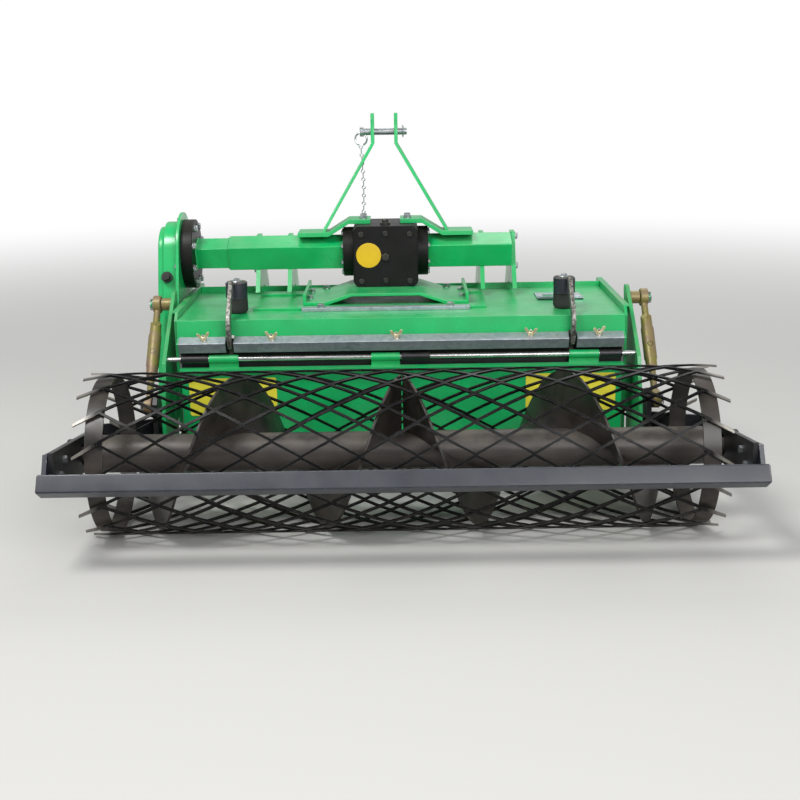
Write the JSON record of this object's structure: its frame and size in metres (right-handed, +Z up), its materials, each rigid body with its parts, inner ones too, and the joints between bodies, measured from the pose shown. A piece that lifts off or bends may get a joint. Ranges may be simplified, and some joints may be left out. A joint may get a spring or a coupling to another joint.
{
  "type": "rotary tiller",
  "caption": "Tractor-mounted rotary tiller with a bladed rotor under a folded hood, a side chain drive, a hinged rear door, a stone comb and a mesh rear roller on swinging arms.",
  "frame": {"origin": "on the floor under the hinge of the rear door, at the middle of the machine's width and length", "axes": "+X to the machine's right, +Y forward towards the tractor, +Z up"},
  "size_m": [1.572, 1.2308, 0.939],
  "materials": {
    "green": "worn satin paint",
    "black": "worn satin paint",
    "zinc": "galvanised, worn",
    "yellow_zinc": "yellow zinc plate",
    "steel": "bare worn steel",
    "dark_steel": "worn dark steel",
    "rubber": "matte"
  },
  "bodies": {
    "frame": {"headstock_left": "green", "headstock_right": "green", "beam_left": "green", "beam_right": "green", "chain_plate": "green", "chain_case": "green", "hood": "green", "hood_rails": "green", "saddle": "green", "hitch_left": "green", "hitch_right": "green", "side_left": "green", "side_right": "green", "bracket_left": "green", "bracket_right": "green", "gearbox": "black", "gearbox_cover": "black", "drive_flange": "black", "comb_bar": "black", "rotor_bearing": "black", "clamp_bar": "zinc", "angle_strips": "zinc", "top_pin": "zinc", "hinge_rod": "steel", "comb_arms": "steel", "comb_teeth": "dark_steel", "rubber_strips": "rubber", "comb_buffers": "rubber"},
    "pto_shaft": {"drive_stub": "steel"},
    "rotor": {"rotor_shaft": "black", "rotor_blades": "dark_steel"},
    "rear_door": {"rear_door": "green"},
    "roller_frame": {"arm_left": "green", "arm_right": "green", "bearing_left": "black", "bearing_right": "black", "rear_bar": "black"},
    "roller": {"roller_axle": "dark_steel", "auger_flight": "dark_steel", "end_bands": "dark_steel", "mesh_cage": "dark_steel"},
    "turnbuckle_left": {"turnbuckle_left": "yellow_zinc"},
    "rod_left": {"rod_left": "yellow_zinc"},
    "turnbuckle_right": {"turnbuckle_right": "yellow_zinc"},
    "rod_right": {"rod_right": "yellow_zinc"}
  },
  "joints": [
    {"name": "rotor_spin", "type": "hinge", "parent": "frame", "child": "rotor", "pos_m": [0, 0.24, 0.205], "axis": [1, 0, 0], "continuous": true},
    {"name": "pto_spin", "type": "hinge", "parent": "frame", "child": "pto_shaft", "pos_m": [-0.039, 0.5, 0.564], "axis": [0, 1, 0], "continuous": true},
    {"name": "door_swing", "type": "hinge", "parent": "frame", "child": "rear_door", "pos_m": [0, 0, 0.347], "axis": [-1, 0, 0], "range_deg": [0, 18]},
    {"name": "arm_swing", "type": "hinge", "parent": "frame", "child": "roller_frame", "pos_m": [0, 0.05, 0.14], "axis": [-1, 0, 0], "range_deg": [-4, 18]},
    {"name": "roller_spin", "type": "hinge", "parent": "roller_frame", "child": "roller", "pos_m": [0, -0.3, 0.191], "axis": [1, 0, 0], "continuous": true},
    {"name": "turnbuckle_swing_left", "type": "hinge", "parent": "frame", "child": "turnbuckle_left", "pos_m": [-0.646, 0.16, 0.462], "axis": [1, 0, 0], "range_deg": [-1, 3]},
    {"name": "rod_slide_left", "type": "slide", "parent": "turnbuckle_left", "child": "rod_left", "axis": [0, 0.6627, 0.7489], "range_m": [-0.012, 0.045]},
    {"name": "turnbuckle_swing_right", "type": "hinge", "parent": "frame", "child": "turnbuckle_right", "pos_m": [0.646, 0.16, 0.462], "axis": [1, 0, 0], "range_deg": [-1, 3]},
    {"name": "rod_slide_right", "type": "slide", "parent": "turnbuckle_right", "child": "rod_right", "axis": [0, 0.6627, 0.7489], "range_m": [-0.012, 0.045]}
  ],
  "couplings": [
    {"joint": "pto_spin", "follows": "rotor_spin", "ratio": 2.4},
    {"joint": "turnbuckle_swing_left", "follows": "arm_swing", "ratio": 0.105},
    {"joint": "rod_slide_left", "follows": "arm_swing", "m_per_rad": 0.128},
    {"joint": "turnbuckle_swing_right", "follows": "arm_swing", "ratio": 0.105},
    {"joint": "rod_slide_right", "follows": "arm_swing", "m_per_rad": 0.128}
  ]
}
